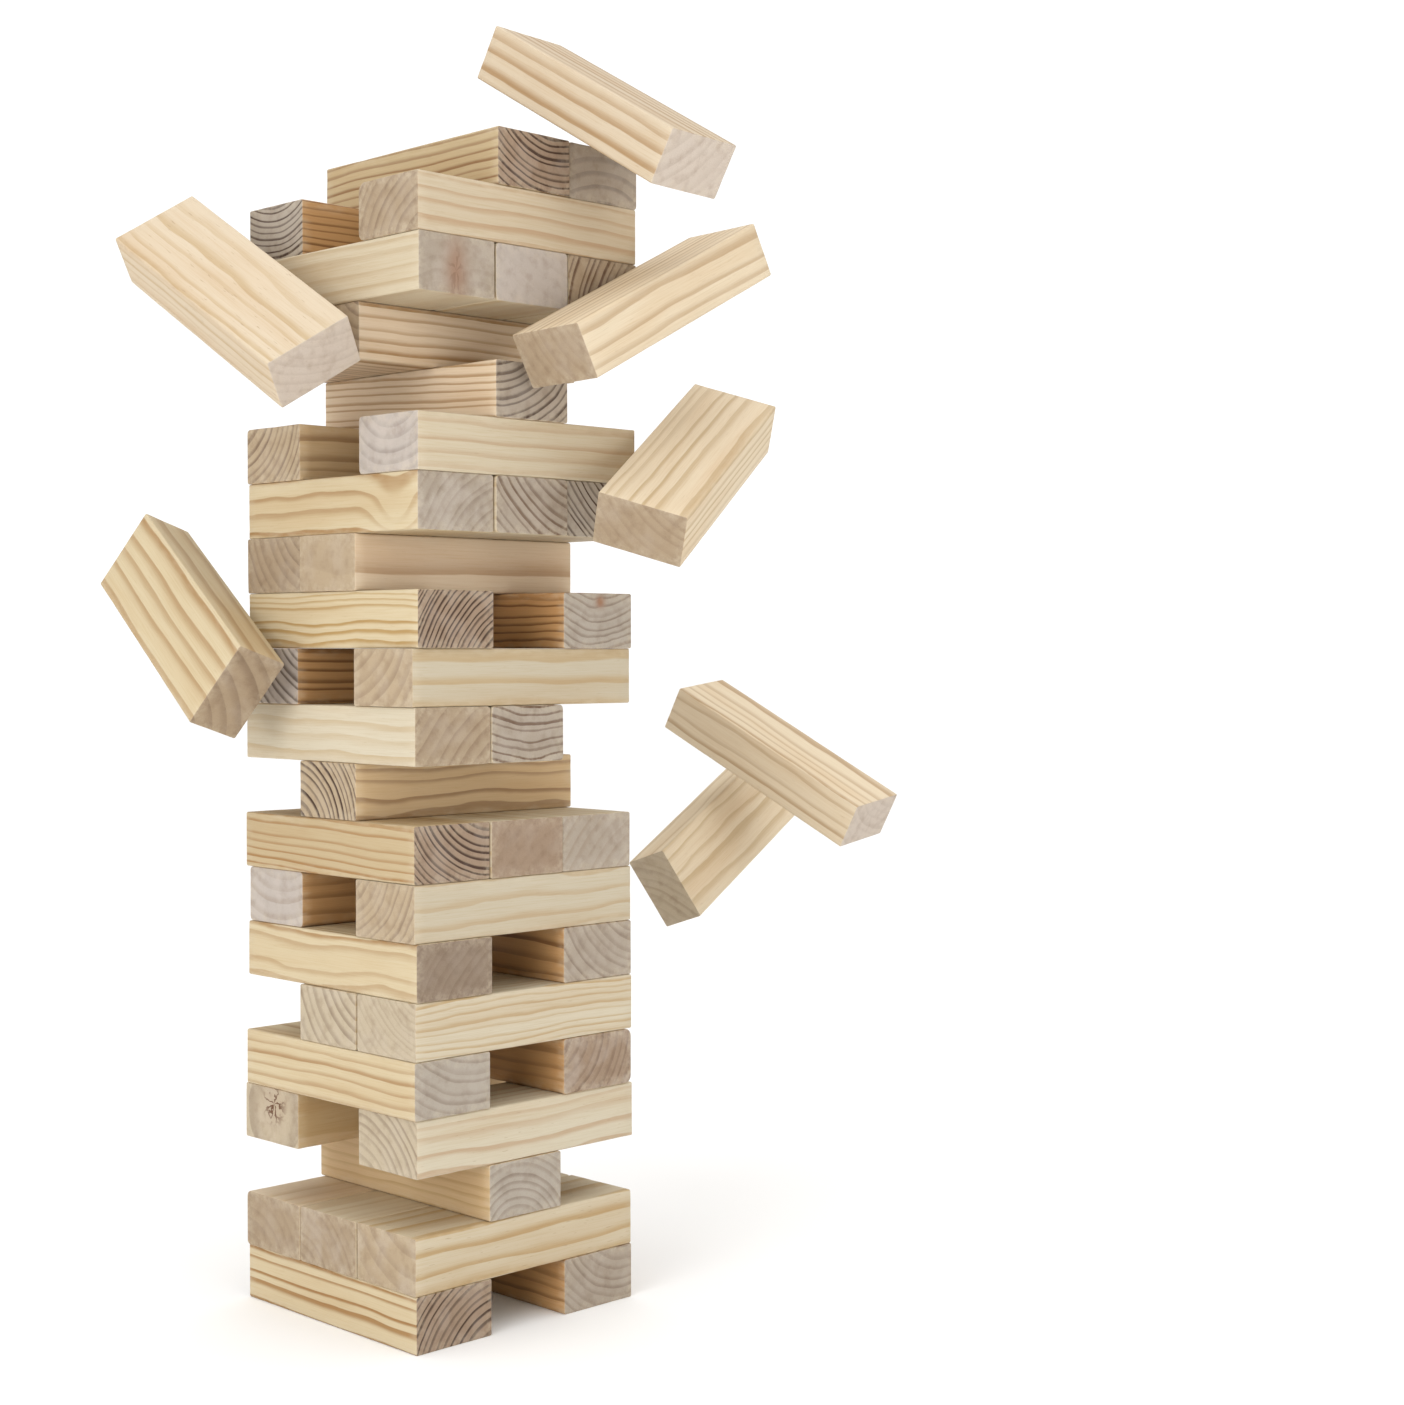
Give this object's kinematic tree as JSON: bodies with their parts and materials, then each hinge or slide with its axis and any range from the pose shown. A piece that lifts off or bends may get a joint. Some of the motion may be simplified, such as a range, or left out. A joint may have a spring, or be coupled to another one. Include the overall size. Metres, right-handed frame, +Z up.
{
  "type": "giant tumbling tower",
  "caption": "Garden-size stacking game of plain pine blocks in crossing levels, part-way through play, with open lanes and loose blocks falling beside it.",
  "frame": {"origin": "middle of the underside of the near foot block, on the ground", "axes": "+Z up; blocks of the odd levels lie along Y and those of the even levels along X; the tower's middle line stands at x = 0.063 m, y = -0.0025 m, so the tower rises to the +X side of the origin"},
  "size_m": [0.6509, 0.4202, 0.8838],
  "materials": {
    "pine": "planed and sanded, unvarnished"
  },
  "bodies": {
    "level_01_near": {"level_01_near": "pine"},
    "level_01_far": {"level_01_far": "pine"},
    "level_02_near": {"level_02_near": "pine"},
    "level_02_middle": {"level_02_middle": "pine"},
    "level_02_far": {"level_02_far": "pine"},
    "level_03_middle": {"level_03_middle": "pine"},
    "level_04_near": {"level_04_near": "pine"},
    "level_04_far": {"level_04_far": "pine"},
    "level_05_near": {"level_05_near": "pine"},
    "level_05_far": {"level_05_far": "pine"},
    "level_06_near": {"level_06_near": "pine"},
    "level_06_middle": {"level_06_middle": "pine"},
    "level_07_near": {"level_07_near": "pine"},
    "level_07_far": {"level_07_far": "pine"},
    "level_08_near": {"level_08_near": "pine"},
    "level_08_far": {"level_08_far": "pine"},
    "level_09_near": {"level_09_near": "pine"},
    "level_09_middle": {"level_09_middle": "pine"},
    "level_09_far": {"level_09_far": "pine"},
    "level_10_middle": {"level_10_middle": "pine"},
    "level_11_near": {"level_11_near": "pine"},
    "level_11_middle": {"level_11_middle": "pine"},
    "level_12_near": {"level_12_near": "pine"},
    "level_12_far": {"level_12_far": "pine"},
    "level_13_near": {"level_13_near": "pine"},
    "level_13_far": {"level_13_far": "pine"},
    "level_14_middle": {"level_14_middle": "pine"},
    "level_14_far": {"level_14_far": "pine"},
    "level_15_near": {"level_15_near": "pine"},
    "level_15_middle": {"level_15_middle": "pine"},
    "level_15_far": {"level_15_far": "pine"},
    "level_16_near": {"level_16_near": "pine"},
    "level_16_far": {"level_16_far": "pine"},
    "level_17_middle": {"level_17_middle": "pine"},
    "level_18_middle": {"level_18_middle": "pine"},
    "level_18_far": {"level_18_far": "pine"},
    "level_19_near": {"level_19_near": "pine"},
    "level_19_middle": {"level_19_middle": "pine"},
    "level_19_far": {"level_19_far": "pine"},
    "level_20_near": {"level_20_near": "pine"},
    "level_20_far": {"level_20_far": "pine"},
    "level_21_middle": {"level_21_middle": "pine"},
    "level_21_far": {"level_21_far": "pine"},
    "falling_top_right": {"falling_top_right": "pine"},
    "falling_upper_left": {"falling_upper_left": "pine"},
    "falling_upper_right": {"falling_upper_right": "pine"},
    "falling_middle_right": {"falling_middle_right": "pine"},
    "falling_lower_left": {"falling_lower_left": "pine"},
    "falling_lower_right_upper": {"falling_lower_right_upper": "pine"},
    "falling_lower_right_lower": {"falling_lower_right_lower": "pine"}
  },
  "joints": [
    {"name": "falling_top_right_fall", "type": "hinge", "parent": "level_01_near", "child": "falling_top_right", "pos_m": [0.1228, -0.172, 0.3764], "axis": [0.9933, 0.1155, 0.0076], "range_deg": [0, 150]},
    {"name": "falling_upper_left_fall", "type": "hinge", "parent": "level_01_near", "child": "falling_upper_left", "pos_m": [-0.7145, -0.5839, 0.6529], "axis": [-0.6714, 0.6698, 0.3171], "range_deg": [0, 51.04]},
    {"name": "falling_upper_right_fall", "type": "hinge", "parent": "level_01_near", "child": "falling_upper_right", "pos_m": [-1.3103, 0.136, 0.6097], "axis": [0.1799, 0.7694, -0.6129], "range_deg": [0, 34.45]},
    {"name": "falling_middle_right_fall", "type": "hinge", "parent": "level_01_near", "child": "falling_middle_right", "pos_m": [-0.2992, -0.9349, 0.2999], "axis": [-0.8026, 0.5543, -0.2205], "range_deg": [0, 34.27]},
    {"name": "falling_lower_left_fall", "type": "hinge", "parent": "level_01_near", "child": "falling_lower_left", "pos_m": [0.0723, 0.1263, 0.231], "axis": [-0.2576, -0.9452, -0.2007], "range_deg": [0, 112.33]},
    {"name": "falling_lower_right_upper_fall", "type": "hinge", "parent": "level_01_near", "child": "falling_lower_right_upper", "pos_m": [0.3837, -0.8309, 0.9439], "axis": [-0.9987, 0.0315, -0.039], "range_deg": [0, 29.78]},
    {"name": "falling_lower_right_lower_fall", "type": "hinge", "parent": "level_01_near", "child": "falling_lower_right_lower", "pos_m": [0.4518, -0.1051, 0.1599], "axis": [-0.9664, 0.0826, -0.2434], "range_deg": [0, 74.39]},
    {"name": "level_01_far_slide", "type": "slide", "parent": "level_01_near", "child": "level_01_far", "axis": [0, 1, 0], "range_m": [-0.2, 0.2]},
    {"name": "level_02_near_slide", "type": "slide", "parent": "level_01_near", "child": "level_02_near", "axis": [1, 0, 0], "range_m": [-0.2, 0.2]},
    {"name": "level_02_middle_slide", "type": "slide", "parent": "level_01_near", "child": "level_02_middle", "axis": [1, 0, 0], "range_m": [-0.2, 0.2]},
    {"name": "level_02_far_slide", "type": "slide", "parent": "level_01_near", "child": "level_02_far", "axis": [1, 0, 0], "range_m": [-0.2, 0.2]},
    {"name": "level_03_middle_slide", "type": "slide", "parent": "level_01_near", "child": "level_03_middle", "axis": [0, 1, 0], "range_m": [-0.2, 0.2]},
    {"name": "level_04_near_slide", "type": "slide", "parent": "level_01_near", "child": "level_04_near", "axis": [1, 0, 0], "range_m": [-0.2, 0.2]},
    {"name": "level_04_far_slide", "type": "slide", "parent": "level_01_near", "child": "level_04_far", "axis": [1, 0, 0], "range_m": [-0.2, 0.2]},
    {"name": "level_05_near_slide", "type": "slide", "parent": "level_01_near", "child": "level_05_near", "axis": [0, 1, 0], "range_m": [-0.2, 0.2]},
    {"name": "level_05_far_slide", "type": "slide", "parent": "level_01_near", "child": "level_05_far", "axis": [0, 1, 0], "range_m": [-0.2, 0.2]},
    {"name": "level_06_near_slide", "type": "slide", "parent": "level_01_near", "child": "level_06_near", "axis": [1, 0, 0], "range_m": [-0.2, 0.2]},
    {"name": "level_06_middle_slide", "type": "slide", "parent": "level_01_near", "child": "level_06_middle", "axis": [1, 0, 0], "range_m": [-0.2, 0.2]},
    {"name": "level_07_near_slide", "type": "slide", "parent": "level_01_near", "child": "level_07_near", "axis": [0, 1, 0], "range_m": [-0.2, 0.2]},
    {"name": "level_07_far_slide", "type": "slide", "parent": "level_01_near", "child": "level_07_far", "axis": [0, 1, 0], "range_m": [-0.2, 0.2]},
    {"name": "level_08_near_slide", "type": "slide", "parent": "level_01_near", "child": "level_08_near", "axis": [1, 0, 0], "range_m": [-0.2, 0.2]},
    {"name": "level_08_far_slide", "type": "slide", "parent": "level_01_near", "child": "level_08_far", "axis": [1, 0, 0], "range_m": [-0.2, 0]},
    {"name": "level_09_near_slide", "type": "slide", "parent": "level_01_near", "child": "level_09_near", "axis": [0, 1, 0], "range_m": [-0.2, 0.2]},
    {"name": "level_09_middle_slide", "type": "slide", "parent": "level_01_near", "child": "level_09_middle", "axis": [0, 1, 0], "range_m": [-0.2, 0.2]},
    {"name": "level_09_far_slide", "type": "slide", "parent": "level_01_near", "child": "level_09_far", "axis": [0, 1, 0], "range_m": [-0.2, 0.2]},
    {"name": "level_10_middle_slide", "type": "slide", "parent": "level_01_near", "child": "level_10_middle", "axis": [1, 0, 0], "range_m": [-0.2, 0.2]},
    {"name": "level_11_near_slide", "type": "slide", "parent": "level_01_near", "child": "level_11_near", "axis": [0, 1, 0], "range_m": [-0.2, 0.2]},
    {"name": "level_11_middle_slide", "type": "slide", "parent": "level_01_near", "child": "level_11_middle", "axis": [0, 1, 0], "range_m": [-0.2, 0.2]},
    {"name": "level_12_near_slide", "type": "slide", "parent": "level_01_near", "child": "level_12_near", "axis": [1, 0, 0], "range_m": [-0.2, 0.2]},
    {"name": "level_12_far_slide", "type": "slide", "parent": "level_01_near", "child": "level_12_far", "axis": [1, 0, 0], "range_m": [0, 0.2]},
    {"name": "level_13_near_slide", "type": "slide", "parent": "level_01_near", "child": "level_13_near", "axis": [0, 1, 0], "range_m": [-0.2, 0.2]},
    {"name": "level_13_far_slide", "type": "slide", "parent": "level_01_near", "child": "level_13_far", "axis": [0, 1, 0], "range_m": [-0.2, 0.2]},
    {"name": "level_14_middle_slide", "type": "slide", "parent": "level_01_near", "child": "level_14_middle", "axis": [1, 0, 0], "range_m": [-0.2, 0.2]},
    {"name": "level_14_far_slide", "type": "slide", "parent": "level_01_near", "child": "level_14_far", "axis": [1, 0, 0], "range_m": [0, 0.2]},
    {"name": "level_15_near_slide", "type": "slide", "parent": "level_01_near", "child": "level_15_near", "axis": [0, 1, 0], "range_m": [-0.2, 0]},
    {"name": "level_15_middle_slide", "type": "slide", "parent": "level_01_near", "child": "level_15_middle", "axis": [0, 1, 0], "range_m": [0, 0.2]},
    {"name": "level_15_far_slide", "type": "slide", "parent": "level_01_near", "child": "level_15_far", "axis": [0, 1, 0], "range_m": [0, 0.2]},
    {"name": "level_16_near_slide", "type": "slide", "parent": "level_01_near", "child": "level_16_near", "axis": [1, 0, 0], "range_m": [-0.2, 0]},
    {"name": "level_16_far_slide", "type": "slide", "parent": "level_01_near", "child": "level_16_far", "axis": [1, 0, 0], "range_m": [-0.2, 0.2]},
    {"name": "level_17_middle_slide", "type": "slide", "parent": "level_01_near", "child": "level_17_middle", "axis": [0, 1, 0], "range_m": [0, 0.2]},
    {"name": "level_18_middle_slide", "type": "slide", "parent": "level_01_near", "child": "level_18_middle", "axis": [1, 0, 0], "range_m": [0, 0.2]},
    {"name": "level_18_far_slide", "type": "slide", "parent": "level_01_near", "child": "level_18_far", "axis": [1, 0, 0], "range_m": [0, 0.2]},
    {"name": "level_19_near_slide", "type": "slide", "parent": "level_01_near", "child": "level_19_near", "axis": [0, 1, 0], "range_m": [-0.2, 0.2]},
    {"name": "level_19_middle_slide", "type": "slide", "parent": "level_01_near", "child": "level_19_middle", "axis": [0, 1, 0], "range_m": [0, 0.2]},
    {"name": "level_19_far_slide", "type": "slide", "parent": "level_01_near", "child": "level_19_far", "axis": [0, 1, 0], "range_m": [0, 0.2]},
    {"name": "level_20_near_slide", "type": "slide", "parent": "level_01_near", "child": "level_20_near", "axis": [1, 0, 0], "range_m": [-0.2, 0]},
    {"name": "level_20_far_slide", "type": "slide", "parent": "level_01_near", "child": "level_20_far", "axis": [1, 0, 0], "range_m": [0, 0.2]},
    {"name": "level_21_middle_slide", "type": "slide", "parent": "level_01_near", "child": "level_21_middle", "axis": [0, 1, 0], "range_m": [0, 0.2]},
    {"name": "level_21_far_slide", "type": "slide", "parent": "level_01_near", "child": "level_21_far", "axis": [0, 1, 0], "range_m": [0, 0.2]}
  ]
}
